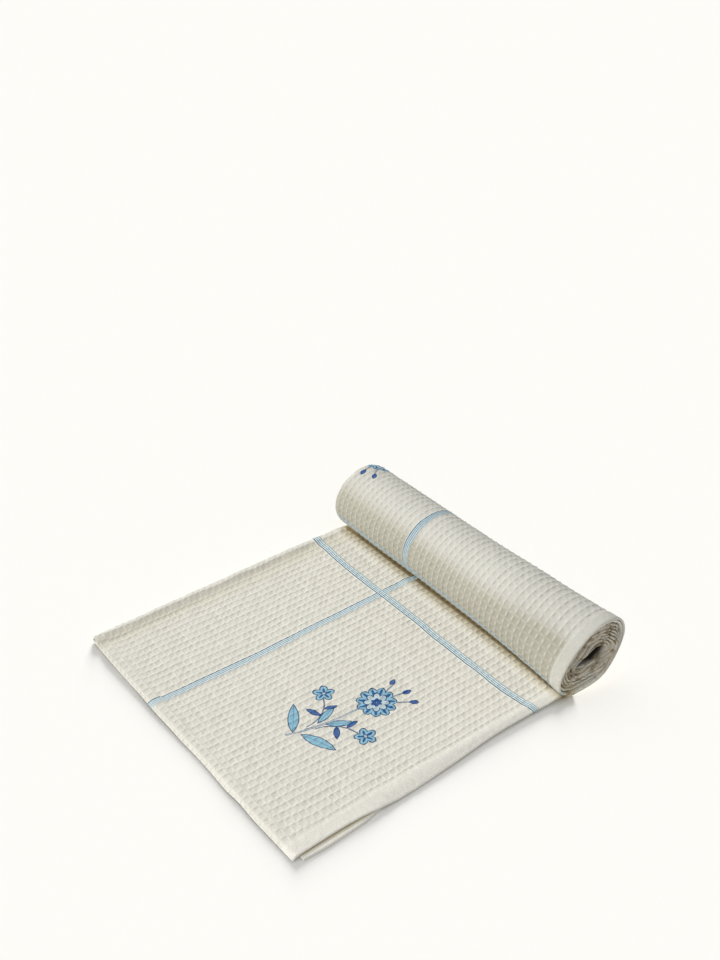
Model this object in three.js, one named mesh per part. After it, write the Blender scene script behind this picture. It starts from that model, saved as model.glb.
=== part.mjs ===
// Bath towel of waffle cloth, folded once along its length and rolled up from the far end.
// Units are millimetres, +Z is up. X runs across the towel from its fold to its open edges,
// and Y runs along it from the front hem to the back of the roll.
import * as THREE from "three";

// Cloth
const LAYER = 2.8;
const LAYER_GAP = 0.4;
const TURN_GAP = 0.7;
const DOUBLE = 2 * LAYER + LAYER_GAP;
const PITCH = DOUBLE + TURN_GAP;

// Roll
const TURNS = 5;
const STEPS_PER_TURN = 26;
const FLAT_STEPS = 14;
const HEM_DEPTH = 17;

// Stations across one face of the towel, as shares of its width
const ACROSS = [0, 0.22, 0.45, 0.66, 0.84, 1];
const FOLD_STEPS = 4;

// Front hem of the upper layer. The lower layer's hem falls short of it by the lag.
const HEM_ROWS = [
  { across: 0, along: 0.5, lag: 0 },
  { across: 90, along: -4.2, lag: 1 },
  { across: 260, along: -4.9, lag: 4 },
  { across: 350, along: -6.6, lag: 6.5 },
  { across: 452, along: -5.4, lag: 9 },
];

// Edges of the flat stretch, by the distance along it from the front hem
const EDGE_ROWS = [
  { along: 0, fold: 3, upper: 451, lower: 457 },
  { along: 35, fold: 3, upper: 450, lower: 458.5 },
  { along: 100, fold: 3.5, upper: 448.5, lower: 455.3 },
  { along: 180, fold: 4, upper: 447.5, lower: 452.6 },
  { along: 300, fold: 4.5, upper: 449.5, lower: 452 },
  { along: 430, fold: 7, upper: 451.5, lower: 453 },
];
const FLAT_LENGTH = EDGE_ROWS[EDGE_ROWS.length - 1].along;

// Edges of the rolled stretch, by turns from where it leaves the floor
const TURN_ROWS = [
  { turn: 0, fold: 7, upper: 451.5, lower: 453 },
  { turn: 0.5, fold: 13.5, upper: 452, lower: 453.5 },
  { turn: 0.9, fold: 11, upper: 452.5, lower: 456 },
  { turn: 1.4, fold: 14, upper: 450.5, lower: 452.5 },
  { turn: 2, fold: 13, upper: 451.5, lower: 450 },
  { turn: 3, fold: 17, upper: 449, lower: 451.5 },
  { turn: 4, fold: 15, upper: 450.5, lower: 448.5 },
  { turn: 5, fold: 19, upper: 446, lower: 448 },
];

// Outline of the roll across the towel: a near circle at the fold, and at the open edges an oval
// that leans back and sags forward over the flat stretch
const ROLL_ROWS = [
  { across: 10, centre: 428.5, major: 52.6, minor: 52.2, lean: 32, sag: 0 },
  { across: 95, centre: 428.5, major: 53.6, minor: 53, lean: 32, sag: 0 },
  { across: 180, centre: 430, major: 53.8, minor: 53, lean: 32, sag: 0 },
  { across: 256, centre: 430, major: 54.8, minor: 53.3, lean: 36, sag: 0 },
  { across: 330, centre: 430.8, major: 57, minor: 53, lean: 38, sag: 0 },
  { across: 400, centre: 434.5, major: 60.5, minor: 47, lean: 36, sag: 1.5 },
  { across: 455, centre: 440.2, major: 65.6, minor: 41.3, lean: 30, sag: 3.8 },
];

// Hollow left at the heart of the roll: round at the fold, a slit at the open edges
const CORE_ROWS = [
  { across: 10, centre: 429, height: 51, major: 12, minor: 9, lean: 24 },
  { across: 256, centre: 431, height: 52, major: 14, minor: 8, lean: 22 },
  { across: 400, centre: 436, height: 49, major: 18, minor: 4, lean: 14 },
  { across: 455, centre: 441, height: 48, major: 20, minor: 0.5, lean: 10 },
];

// Soft swell of the upper layer on the flat stretch, which settles under the roll
const SWELL = 0.5;
const SWELL_LENGTH = 290;
const SWELL_DRIFT = 5;
const SETTLE_SHARE = 0.25;
const FOLD_PUFF = 1.6;
const PUFF_PLACE = 8;
const PUFF_REACH = 8;

// Rounds of the search for the point where the outline rests on the floor
const REST_ROUNDS = 6;

const WEAVE = new THREE.MeshStandardMaterial({ color: 0xdedacb, roughness: 0.95, metalness: 0 });

// Smooth value of a table's column at a place, through its rows
function read(rows, key, column, place) {
  const last = rows.length - 1;
  const at = Math.min(Math.max(place, rows[0][key]), rows[last][key]);
  let i = 0;
  while (i < last - 1 && at > rows[i + 1][key]) {
    i += 1;
  }
  const before = rows[Math.max(i - 1, 0)];
  const from = rows[i];
  const to = rows[i + 1];
  const after = rows[Math.min(i + 2, last)];
  const span = to[key] - from[key];
  const share = (at - from[key]) / span;
  const slopeIn = (to[column] - before[column]) / (to[key] - before[key]) * span;
  const slopeOut = (after[column] - from[column]) / (after[key] - from[key]) * span;
  const square = share * share;
  const cube = square * share;
  return (2 * cube - 3 * square + 1) * from[column] + (cube - 2 * square + share) * slopeIn
    + (3 * square - 2 * cube) * to[column] + (cube - square) * slopeOut;
}

// Point of a leaning oval, in the plane of the roll's end, from the oval's centre
function oval({ major, minor, lean, sag }, angle) {
  const along = major * Math.cos(angle) - sag * Math.cos(2 * angle);
  const up = minor * Math.sin(angle);
  return {
    along: along * Math.cos(lean) - up * Math.sin(lean),
    height: along * Math.sin(lean) + up * Math.cos(lean),
  };
}

// Angle round the oval of its lowest point
function lowestOf({ major, minor, lean, sag }) {
  let angle = Math.atan2(-minor * Math.cos(lean), -major * Math.sin(lean));
  for (let i = 0; i < REST_ROUNDS; i += 1) {
    const alongSlope = -major * Math.sin(angle) + 2 * sag * Math.sin(2 * angle);
    const alongBend = -major * Math.cos(angle) + 4 * sag * Math.cos(2 * angle);
    const slope = alongSlope * Math.sin(lean) + minor * Math.cos(angle) * Math.cos(lean);
    const bend = alongBend * Math.sin(lean) - minor * Math.sin(angle) * Math.cos(lean);
    angle -= slope / bend;
  }
  return angle;
}

// Shape of the roll at one place across
function rollAt(across) {
  const roll = {
    centre: read(ROLL_ROWS, "across", "centre", across),
    major: read(ROLL_ROWS, "across", "major", across),
    minor: read(ROLL_ROWS, "across", "minor", across),
    lean: THREE.MathUtils.degToRad(read(ROLL_ROWS, "across", "lean", across)),
    sag: read(ROLL_ROWS, "across", "sag", across),
  };
  roll.lowest = lowestOf(roll);
  roll.height = -oval(roll, roll.lowest).height;
  roll.touch = roll.centre + oval(roll, roll.lowest).along;
  return roll;
}

// Shape of the hollow at one place across
function coreAt(across) {
  return {
    centre: read(CORE_ROWS, "across", "centre", across),
    height: read(CORE_ROWS, "across", "height", across),
    major: read(CORE_ROWS, "across", "major", across),
    minor: read(CORE_ROWS, "across", "minor", across),
    lean: THREE.MathUtils.degToRad(read(CORE_ROWS, "across", "lean", across)),
    sag: 0,
  };
}

// Place on the band in the roll: "turn" counts from the floor, "depth" goes in from the outer face.
// Each turn lies a share of the way from the roll's outline to the hollow's.
function rolled(across, turn, depth) {
  const roll = rollAt(across);
  const core = coreAt(across);
  const angle = roll.lowest + 2 * Math.PI * turn;
  const outline = oval(roll, angle);
  const hollow = oval(core, angle + roll.lean - core.lean);
  const share = (turn + depth / PITCH) / (TURNS + DOUBLE / PITCH);
  return {
    along: THREE.MathUtils.lerp(roll.centre + outline.along, core.centre + hollow.along, share),
    height: THREE.MathUtils.lerp(roll.height + outline.height, core.height + hollow.height, share),
  };
}

// Height that the upper layer stands off the lower one on the flat stretch
function swell(across, share) {
  const puff = FOLD_PUFF * Math.exp(-(((across - PUFF_PLACE) / PUFF_REACH) ** 2));
  const wave = Math.sin(2 * Math.PI * across / SWELL_LENGTH + SWELL_DRIFT * share);
  const settle = Math.min(1, (1 - share) / SETTLE_SHARE);
  return (puff + SWELL * (1 + wave) / 2) * settle;
}

// Place on the band in the flat stretch: "share" goes from the hem, 0, to the roll, 1
function laid(across, share, depth, upper) {
  const lag = (1 - upper) * read(HEM_ROWS, "across", "lag", across);
  const start = read(HEM_ROWS, "across", "along", across) + lag;
  const touch = rollAt(across).touch;
  const meet = rolled(across, 0, depth);
  return {
    along: THREE.MathUtils.lerp(start, touch, share) + (meet.along - touch) * share,
    height: THREE.MathUtils.lerp(depth, meet.height, share) + upper * swell(across, share),
  };
}

// Station along the towel: from -1 at the front hem through 0 at the roll to TURNS at the inner end
function place(across, station, depth, upper) {
  const at = station < 0 ? laid(across, 1 + station, depth, upper) : rolled(across, station, depth);
  return new THREE.Vector3(across, at.along, at.height);
}

function edgesAt(station) {
  const rows = station < 0 ? EDGE_ROWS : TURN_ROWS;
  const key = station < 0 ? "along" : "turn";
  const at = station < 0 ? (1 + station) * FLAT_LENGTH : station;
  return {
    fold: read(rows, key, "fold", at),
    upper: read(rows, key, "upper", at),
    lower: read(rows, key, "lower", at),
  };
}

// Ring of points round the folded cloth: the outer face to the fold, round it, the inner face,
// then back through the gap between the two layers
function section(station) {
  const edges = edgesAt(station);
  const foldCentre = edges.fold + DOUBLE / 2;
  const acrossLower = (share) => THREE.MathUtils.lerp(foldCentre, edges.lower, share);
  const acrossUpper = (share) => THREE.MathUtils.lerp(foldCentre, edges.upper, share);
  const outwards = ACROSS;
  const inwards = [...ACROSS].reverse();
  const ring = [];
  inwards.forEach((share) => ring.push(place(acrossLower(share), station, 0, 0)));
  for (let i = 1; i < FOLD_STEPS; i += 1) {
    const angle = Math.PI * (i / FOLD_STEPS);
    const across = foldCentre - (DOUBLE / 2) * Math.sin(angle);
    const depth = (DOUBLE / 2) * (1 - Math.cos(angle));
    ring.push(place(across, station, depth, i / FOLD_STEPS));
  }
  outwards.forEach((share) => ring.push(place(acrossUpper(share), station, DOUBLE, 1)));
  inwards.forEach((share) => ring.push(place(acrossUpper(share), station, LAYER + LAYER_GAP, 1)));
  outwards.forEach((share) => ring.push(place(acrossLower(share), station, LAYER, 0)));
  return ring;
}

// Triangles that close one end: a strip over each layer, and a fan over the fold
function endTriangles() {
  const spans = ACROSS.length - 1;
  const foldStart = spans;
  const upperStart = foldStart + FOLD_STEPS;
  const gapUpper = upperStart + spans + 1;
  const gapLower = gapUpper + spans + 1;
  const ringSize = gapLower + spans + 1;
  const triangles = [];
  const quad = (a, b, c, d) => triangles.push([a, b, c], [a, c, d]);
  for (let i = 0; i < spans; i += 1) {
    quad(i, i + 1, ringSize - 2 - i, ringSize - 1 - i);
    quad(upperStart + i, upperStart + i + 1, gapUpper + spans - 1 - i, gapUpper + spans - i);
  }
  for (let i = foldStart; i < upperStart; i += 1) {
    triangles.push([gapLower, i, i + 1]);
  }
  triangles.push([gapLower, upperStart, gapLower - 1]);
  return triangles;
}

// Whether the ring runs back towards the fold from this point, so that faces that lie on each
// other are split along the same diagonals
function runsInwards(i) {
  const spans = ACROSS.length - 1;
  const gapUpper = 2 * spans + FOLD_STEPS + 1;
  return i < spans || (i >= gapUpper && i < gapUpper + spans);
}

// Stations along the towel, with a pair at the front hem's stitch line
function stations() {
  const list = [-1, -1 + HEM_DEPTH / FLAT_LENGTH];
  for (let i = 1; i < FLAT_STEPS; i += 1) {
    list.push(-1 + (i + 0.5) / (FLAT_STEPS + 0.5));
  }
  for (let i = 0; i <= TURNS * STEPS_PER_TURN; i += 1) {
    list.push(i / STEPS_PER_TURN);
  }
  return list;
}

function towelGeometry() {
  const rings = stations().map(section);
  const size = rings[0].length;
  const points = rings.flat();
  const index = [];
  for (let ring = 0; ring < rings.length - 1; ring += 1) {
    for (let i = 0; i < size; i += 1) {
      const next = (i + 1) % size;
      const [a, b] = [ring * size + i, ring * size + next];
      const [c, d] = [a + size, b + size];
      if (runsInwards(i)) {
        index.push(a, b, c, b, d, c);
      } else {
        index.push(a, b, d, a, d, c);
      }
    }
  }
  const lastRing = (rings.length - 1) * size;
  endTriangles().forEach(([a, b, c]) => {
    index.push(a, c, b);
    index.push(lastRing + a, lastRing + b, lastRing + c);
  });
  const geometry = new THREE.BufferGeometry();
  const coordinates = points.flatMap((point) => point.toArray());
  geometry.setAttribute("position", new THREE.Float32BufferAttribute(coordinates, 3));
  geometry.setIndex(index);
  geometry.computeBoundingBox();
  const middle = geometry.boundingBox.getCenter(new THREE.Vector3());
  geometry.translate(-middle.x, -middle.y, -geometry.boundingBox.min.z);
  geometry.computeVertexNormals();
  return geometry;
}

const towel = new THREE.Mesh(towelGeometry(), WEAVE);
towel.name = "towel";

const part = new THREE.Group();
part.add(towel);

export default part;
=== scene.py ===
# %% [markdown]
# # A waffle bath towel, folded once and rolled up
#
# The towel is one cloth, 900 by 1500 mm. It is folded once along its length, and five turns
# of the doubled cloth are rolled up from the far end. The near end lies flat in front of the
# roll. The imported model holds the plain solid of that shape, and this script dresses it: it
# makes the cloth itself, with its cells, hems, stripes and sprig, on the same folds.
#
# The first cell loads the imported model. Everything after it works in the model's own frame.

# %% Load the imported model
import math

import bmesh
import bpy
import numpy as np
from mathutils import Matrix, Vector


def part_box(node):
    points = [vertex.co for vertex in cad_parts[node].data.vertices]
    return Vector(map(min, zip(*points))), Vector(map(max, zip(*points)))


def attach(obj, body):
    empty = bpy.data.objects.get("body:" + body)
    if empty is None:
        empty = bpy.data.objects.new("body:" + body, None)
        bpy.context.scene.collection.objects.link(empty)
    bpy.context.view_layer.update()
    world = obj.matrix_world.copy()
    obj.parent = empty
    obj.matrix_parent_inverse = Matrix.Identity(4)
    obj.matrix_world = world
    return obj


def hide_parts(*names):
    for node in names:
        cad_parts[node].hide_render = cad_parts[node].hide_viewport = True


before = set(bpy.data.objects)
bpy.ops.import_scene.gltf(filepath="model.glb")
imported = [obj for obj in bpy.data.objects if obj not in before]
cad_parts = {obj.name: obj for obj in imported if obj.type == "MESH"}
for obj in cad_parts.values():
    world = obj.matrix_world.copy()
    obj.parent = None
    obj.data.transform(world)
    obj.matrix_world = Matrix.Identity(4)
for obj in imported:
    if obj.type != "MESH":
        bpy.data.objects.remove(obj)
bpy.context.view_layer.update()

LOW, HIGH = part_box("towel")
MM = 0.001
scene = bpy.context.scene
print("packed towel:", [round((b - a) / MM, 1) for a, b in zip(LOW, HIGH)], "mm")


def add(name, data):
    """A new object in the scene, at the origin."""
    made = bpy.data.objects.new(name, data)
    scene.collection.objects.link(made)
    return made


# %% [markdown]
# ## Sizes of the cloth
#
# All sizes are millimetres. `u` runs across the cloth, from one long hem, -450, through the
# fold, 0, to the other long hem, 450. `v` runs along it, from the front hem, 0, to the inner
# end of the roll. A third number, the depth in the cloth, is 0 on the face and 2.8 on the back.
# The stripes follow the weave: each is one cell wide.
#
# `FLAT_LENGTH` is how far the flat stretch reaches along the towel, up to where the roll rests,
# and `FLAT_CLOTH` is the cloth in it. `RELAXED` is what folded cloth loses evenly in its width.

# %% Named sizes
HALF_WIDTH = 450
CLOTH = 2.8
LAYER_GAP = 0.4
TURN_GAP = 0.7
DOUBLE = 2 * CLOTH + LAYER_GAP
PITCH = DOUBLE + TURN_GAP
TURNS = 5
FOLD_ARC = math.pi / 2 * DOUBLE / 2
FLAT_LENGTH = 430
FLAT_CLOTH = 433
CELL_ACROSS = 10.16
CELL_ALONG = 9.57
FIRST_RIDGE = 4.2
LONG_STRIPE = 15.5 * CELL_ACROSS
CROSS_STRIPE = FIRST_RIDGE + 36.5 * CELL_ALONG
STRIPE_SPACING = 34.5 * CELL_ALONG
RELAXED = -4.8
print("lengthwise stripes:", round(LONG_STRIPE), "mm each side of the fold")
print("crosswise stripes:", round(STRIPE_SPACING), "mm apart")


def table(names, *rows):
    """Columns of a short table, by name."""
    return {name: np.array([row[i] for row in rows], float) for i, name in enumerate(names.split())}


def soft_step(x, low, high):
    """0 at low, 1 at high, and smooth between. low may be the larger one."""
    x = np.clip((x - low) / (high - low), 0, 1)
    return x * x * (3 - 2 * x)


def hump(x, middle, reach):
    """1 at the middle, fading to 0 on both sides of it."""
    return np.exp(-(((x - middle) / reach) ** 2))


def read(rows, key, column, place):
    """Smooth value of a table's column at a place, through its rows."""
    keys, values = rows[key], rows[column]
    last = len(keys) - 1
    at = np.clip(place, keys[0], keys[last])
    i = np.clip(np.searchsorted(keys, at) - 1, 0, last - 1)
    before, after = np.maximum(i - 1, 0), np.minimum(i + 2, last)
    span = keys[i + 1] - keys[i]
    share = (at - keys[i]) / span
    slope_in = (values[i + 1] - values[before]) / (keys[i + 1] - keys[before]) * span
    slope_out = (values[after] - values[i]) / (keys[after] - keys[i]) * span
    square, cube = share**2, share**3
    from_start = (2 * cube - 3 * square + 1) * values[i] + (cube - 2 * square + share) * slope_in
    return from_start + (3 * square - 2 * cube) * values[i + 1] + (cube - square) * slope_out


def read_all(rows, key, columns, place):
    """The same for several columns, named in one text."""
    return [read(rows, key, column, place) for column in columns.split()]


# %% [markdown]
# ## The folds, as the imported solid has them
#
# These tables are the solid's own, a little finer for the front hem and for the roll's first
# turn. They hold the front hem, the edges of the flat stretch and of the rolled one, the roll's
# outline across the towel and the hollow at its heart.

# %% Tables of the folds
HEM = table(
    "across along lag",
    (0, 0.5, 0),
    (68, -3.1, 1),
    (132, -4.4, 1.8),
    (193, -4.7, 2.6),
    (271, -5.0, 4.2),
    (346, -6.5, 6.4),
    (403, -6.3, 7.8),
    (452, -5.4, 9),
)
FLAT_EDGES = table(
    "along fold upper lower",
    (0, 3, 451, 457),
    (35, 3, 450, 458.5),
    (100, 3.5, 448.5, 455.3),
    (180, 4, 447.5, 452.6),
    (300, 4.5, 449.5, 452),
    (430, 7, 451.5, 453),
)
ROLL_EDGES = table(
    "turn fold upper lower",
    (0, 7, 451.5, 453),
    (0.5, 13.5, 452, 453.5),
    (0.75, 12, 452.3, 454.5),
    (0.95, 11, 452.5, 456),
    (1.4, 14, 450.5, 452.5),
    (2, 13, 451.5, 450),
    (3, 17, 449, 451.5),
    (4, 15, 450.5, 448.5),
    (5, 19, 446, 448),
)
ROLL = table(
    "across centre major minor lean sag",
    (10, 428.5, 52.6, 52.2, 32, 0),
    (95, 428.5, 53.6, 53, 32, 0),
    (180, 430, 53.8, 53, 32, 0),
    (256, 430, 54.8, 53.3, 36, 0),
    (330, 430.8, 57, 53, 38, 0),
    (400, 434.5, 60.5, 47, 36, 1.5),
    (455, 440.2, 65.6, 41.3, 30, 3.8),
)
HOLLOW = table(
    "across centre height major minor lean",
    (10, 429, 51, 12, 9, 24),
    (256, 431, 52, 14, 8, 22),
    (400, 436, 49, 18, 4, 14),
    (455, 441, 48, 20, 0.5, 10),
)


# %% Outline of the roll at a place across
def oval(major, minor, lean, sag, angle):
    """Point of a leaning oval from its centre, along the towel and up."""
    along = major * np.cos(angle) - sag * np.cos(2 * angle)
    up = minor * np.sin(angle)
    return along * np.cos(lean) - up * np.sin(lean), along * np.sin(lean) + up * np.cos(lean)


def lowest_angle(major, minor, lean, sag, rounds=6):
    """Angle of the oval's lowest point, where the roll rests."""
    angle = np.arctan2(-minor * np.cos(lean), -major * np.sin(lean))
    for _ in range(rounds):
        slope_along = -major * np.sin(angle) + 2 * sag * np.sin(2 * angle)
        bend_along = -major * np.cos(angle) + 4 * sag * np.cos(2 * angle)
        slope = slope_along * np.sin(lean) + minor * np.cos(angle) * np.cos(lean)
        bend = bend_along * np.sin(lean) - minor * np.sin(angle) * np.cos(lean)
        angle = angle - slope / bend
    return angle


def roll_at(across):
    """Centre, height, oval and resting angle of the roll at a place across."""
    centre, major, minor, lean, sag = read_all(ROLL, "across", "centre major minor lean sag", across)
    shape = (major, minor, np.radians(lean), sag)
    lowest = lowest_angle(*shape)
    height = -oval(*shape, lowest)[1]
    return centre, height, shape, lowest


def rolled(across, turn, depth):
    """Place in the roll, along and up. Each turn lies between the outline and the hollow."""
    centre, height, shape, lowest = roll_at(across)
    names = "centre height major minor lean"
    heart, heart_height, major, minor, lean = read_all(HOLLOW, "across", names, across)
    lean = np.radians(lean)
    angle = lowest + 2 * np.pi * turn
    out_along, out_up = oval(*shape, angle)
    in_along, in_up = oval(major, minor, lean, 0, angle + shape[2] - lean)
    share = (turn + depth / PITCH) / (TURNS + DOUBLE / PITCH)
    along = (1 - share) * (centre + out_along) + share * (heart + in_along)
    return along, (1 - share) * (height + out_up) + share * (heart_height + in_up)


# %% [markdown]
# ## From the cloth to its place
#
# `section` bends the doubled cloth round its fold. It works for any depth in the cloth, so a
# cell's pit is made by going a little deeper, and it follows every fold by itself. Along the
# towel, a cell in the roll has to be as long as one on the flat, so the script measures the
# spiral once and looks turns up by length.


# %% Bend the cloth round its fold
HEMS_GATHER = (290, 442)


def section(u, depth, fold, upper_edge, lower_edge, gathered):
    """Place across, depth in the doubled cloth, and share of the upper layer.

    The cloth is drawn in evenly, but where it is gathered, what is left is taken in by its hems.
    """
    centre = fold + DOUBLE / 2
    from_fold = np.abs(u)
    drawn = np.where(u > 0, upper_edge, lower_edge) - centre - (HALF_WIDTH - FOLD_ARC)
    even = np.clip((from_fold - FOLD_ARC) / (HALF_WIDTH - FOLD_ARC), 0, 1)
    share = even + (soft_step(from_fold, *HEMS_GATHER) - even) * gathered
    straight = centre + np.maximum(from_fold - FOLD_ARC, 0) + RELAXED * even + (drawn - RELAXED) * share
    bend = np.clip(u / FOLD_ARC, -1, 1) * np.pi / 2
    radius = DOUBLE / 2 - depth
    return straight - radius * np.cos(bend), DOUBLE / 2 + radius * np.sin(bend), 0.5 + bend / np.pi


# %% [markdown]
# On the flat, the lower layer shows only near the front. From there to the roll it lies further
# in, and the upper layer's hem hangs over it. `HANGING` says how far the hem comes out and down
# and how far the lower layer is tucked in. The upper layer stands up by `PUFF` close to the
# fold, with a shallow dip beside it, and by `NIP_SWELL` just before the nip, the line where the
# roll meets the flat stretch.

# %% The flat stretch
PUFF, PUFF_ENDS = 3.3, (9, 23)
DIP, DIP_ACROSS, DIP_REACH = 0.7, 26, 6
WAVE, WAVE_LENGTH, WAVE_TURN = 0.25, 290, 5
NIP_SWELL, NIP_SWELL_ALONG, NIP_SWELL_REACH = 2.0, 390, 8
NIP_SHARE = 0.25
FOLD_BULGE, FOLD_BULGE_REACH = 1.6, 20
DROOP, DROOP_REACH, DROOP_LAG = 2.8, 3.5, 4
OUT_FROM, DOWN_FROM = 434, 439
HANGING = table(
    "along out down tuck",
    (60, 0, 0, 0),
    (95, 1.5, 0, 0),
    (125, 4.5, 1.2, 6),
    (150, 6, 2.6, 9.5),
    (190, 5.2, 2.8, 9.5),
    (240, 2, 2.6, 9),
    (300, -2.8, 2, 9),
    (355, -3.2, 1.6, 9),
    (395, -1.9, 1.2, 8),
    (428, 0, 0, 0),
)


def swell(across, along, share):
    """Height that the upper layer stands off the lower one, with a ripple close to the roll."""
    puff = PUFF * (1 - soft_step(across, *PUFF_ENDS)) - DIP * hump(across, DIP_ACROSS, DIP_REACH)
    wave = WAVE * (1 + np.sin(2 * np.pi * across / WAVE_LENGTH + WAVE_TURN * share))
    ripple = NIP_SWELL * hump(along, NIP_SWELL_ALONG, NIP_SWELL_REACH)
    return (puff + wave) * np.minimum(1, (1 - share) / NIP_SHARE) + ripple


def flat_place(u, v, depth):
    """Across, along and up of a point of the flat stretch."""
    at = v / FLAT_CLOTH * FLAT_LENGTH
    fold, upper_edge, lower_edge = read_all(FLAT_EDGES, "along", "fold upper lower", at)
    out, down, tuck = read_all(HANGING, "along", "out down tuck", v)
    across, layer, upper = section(u, depth, fold, upper_edge, lower_edge - tuck, 0)
    share = v / FLAT_CLOTH
    front, lag = read_all(HEM, "across", "along lag", across)
    start = front + (1 - upper) * lag
    meet_along, meet_up = rolled(across, 0, layer)
    along = start + share * (meet_along - start)
    droop = DROOP * np.minimum(lag / DROOP_LAG, 1) * hump(v, 0, DROOP_REACH)
    up = layer + share * (meet_up - layer) + upper * (swell(across, along, share) - droop)
    up = up - down * soft_step(u, DOWN_FROM, HALF_WIDTH)
    bulge = FOLD_BULGE * hump(u, 0, FOLD_BULGE_REACH) * soft_step(share, 1, 0.85)
    return across - bulge + out * soft_step(u, OUT_FROM, HALF_WIDTH), along, up


# %% The rolled stretch, measured along its spiral
ACROSS_SAMPLES = np.linspace(0, 460, 24)
TURN_SAMPLES = np.linspace(0, TURNS, 751)
spiral_along, spiral_up = rolled(ACROSS_SAMPLES[:, None], TURN_SAMPLES[None, :], CLOTH / 2)
spiral_steps = np.hypot(np.diff(spiral_along), np.diff(spiral_up))
spiral_length = np.insert(np.cumsum(spiral_steps, axis=1), 0, 0, axis=1)
ROLLED_CLOTH = spiral_length[:, -1].mean()
spiral_length *= ROLLED_CLOTH / spiral_length[:, -1:]
LENGTH_SAMPLES = np.linspace(0, ROLLED_CLOTH, 1200)
TURN_AT_LENGTH = np.array([np.interp(LENGTH_SAMPLES, row, TURN_SAMPLES) for row in spiral_length])
CLOTH_LENGTH = FLAT_CLOTH + ROLLED_CLOTH
print("cloth:", 2 * HALF_WIDTH, "by", round(CLOTH_LENGTH), "mm")


def between(lattice, x, y, ease=lambda share: share):
    """Value of a lattice of numbers between its points."""
    x, y = np.clip(x, 0, lattice.shape[0] - 1.001), np.clip(y, 0, lattice.shape[1] - 1.001)
    i, j = x.astype(int), y.astype(int)
    a, b = ease(x - i), ease(y - j)
    near = lattice[i, j] * (1 - b) + lattice[i, j + 1] * b
    far = lattice[i + 1, j] * (1 - b) + lattice[i + 1, j + 1] * b
    return near * (1 - a) + far * a


def turn_at(v, across):
    """Turn of the roll at a length along the cloth."""
    column = across / ACROSS_SAMPLES[-1] * (len(ACROSS_SAMPLES) - 1)
    row = (v - FLAT_CLOTH) / ROLLED_CLOTH * (len(LENGTH_SAMPLES) - 1)
    return between(TURN_AT_LENGTH, column, row)


# %% [markdown]
# The roll's right end isn't tidy. Inside its outer turn the layers are pushed about, and the
# hollow is squeezed to a slit. `PUSHES` moves the layers at listed places, like fingertips, and
# `RIPPLES` bends them into waves. Both fade out 50 mm inside the roll, so the layers stay whole.
# Low down at the back, this end has also sunk under its own weight, and its layers slid out.

# %% The crumpled right end
PUSHES = table(
    "along up reach by_along by_up outwards",
    (432, 57, 11, 0.5, -3.4, 0),
    (436, 38, 9, 0, 2.6, 0.5),
    (452, 55, 9, 0, 1.2, 0),
    (450, 41, 9, 0, -1.6, 0),
    (457, 47, 6, 0, 0, -4),
    (472, 53, 11, 0.5, 1.2, 8),
    (408, 27, 8, 0, 1, 3.5),
    (425, 31, 7, -1.5, 1.5, 3),
    (396, 42, 8, 1.5, 0, -3.5),
    (440, 69, 12, 0, 0, -2.5),
    (455, 28, 10, 0, 0.5, 2.5),
    (477, 78, 6, -2.4, -2.8, -2),
    (489, 66, 5, -2, -0.6, -2),
)
RIPPLES = table(
    "along up reach heading period size",
    (409, 31, 15, -35, 12.5, 1.5),
    (424, 24, 10, 10, 11, 1),
    (479, 44, 18, 68, 16, 1.5),
    (450, 22, 17, 25, 17, 1.2),
    (462, 66, 13, -25, 12, 1.1),
)
END_FADE = (400, 446)
TURN_FADE = (0.95, 1.6)
SETTLED, SETTLED_OUT = 0.24, 5
SETTLED_ALONG, SETTLED_REACH = 456, 34
SETTLED_FADE, SETTLED_HEIGHT = (385, 450), (80, 5)
RAGGED = 2.8


def crumpled(across, turn, along, up):
    """Moves a point of the roll's right end by the pushes and the ripples."""
    share = soft_step(across, *END_FADE) * soft_step(turn, *TURN_FADE)
    moves = [0 * share, 0 * share, 0 * share]

    def near_to(at_along, at_up, reach):
        """The share that a push or a ripple has at a distance from its place."""
        return share * np.exp(-((along - at_along) ** 2 + (up - at_up) ** 2) / reach**2)

    for at_along, at_up, reach, *by in zip(*PUSHES.values()):
        near = near_to(at_along, at_up, reach)
        moves = [move + near * size for move, size in zip(moves, by)]
    for at_along, at_up, reach, heading, period, size in zip(*RIPPLES.values()):
        ahead = (math.cos(math.radians(heading)), math.sin(math.radians(heading)))
        forward = (along - at_along) * ahead[0] + (up - at_up) * ahead[1]
        wave = near_to(at_along, at_up, reach) * size * np.sin(2 * np.pi * forward / period)
        moves = [moves[0] - wave * ahead[1], moves[1] + wave * ahead[0], moves[2]]
    return across + moves[2], along + moves[0], up + moves[1]


def settled(across, along, up):
    """How far the roll's right end has sunk: 1 low down at the back, 0 elsewhere."""
    near = soft_step(across, *SETTLED_FADE) * hump(along, SETTLED_ALONG, SETTLED_REACH)
    return near * soft_step(up, *SETTLED_HEIGHT)


def rolled_place(u, v, depth):
    """Across, along and up of a point of the rolled stretch."""
    middle = turn_at(v, np.full_like(v, HALF_WIDTH / 2))
    fold, upper, lower = read_all(ROLL_EDGES, "turn", "fold upper lower", middle)
    ragged = RAGGED * ragged_edge(u, v) * soft_step(middle, 0.9, 1.3)
    across, layer, _ = section(u, depth, fold, upper + ragged, lower + ragged, soft_step(middle, 0, 0.3))
    turn = turn_at(v, across)
    along, up = rolled(across, turn, layer)
    across, along, up = crumpled(across, turn + layer / PITCH, along, up)
    share = settled(across, along, up)
    return across + share * SETTLED_OUT, along, up * (1 - share * SETTLED)


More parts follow.
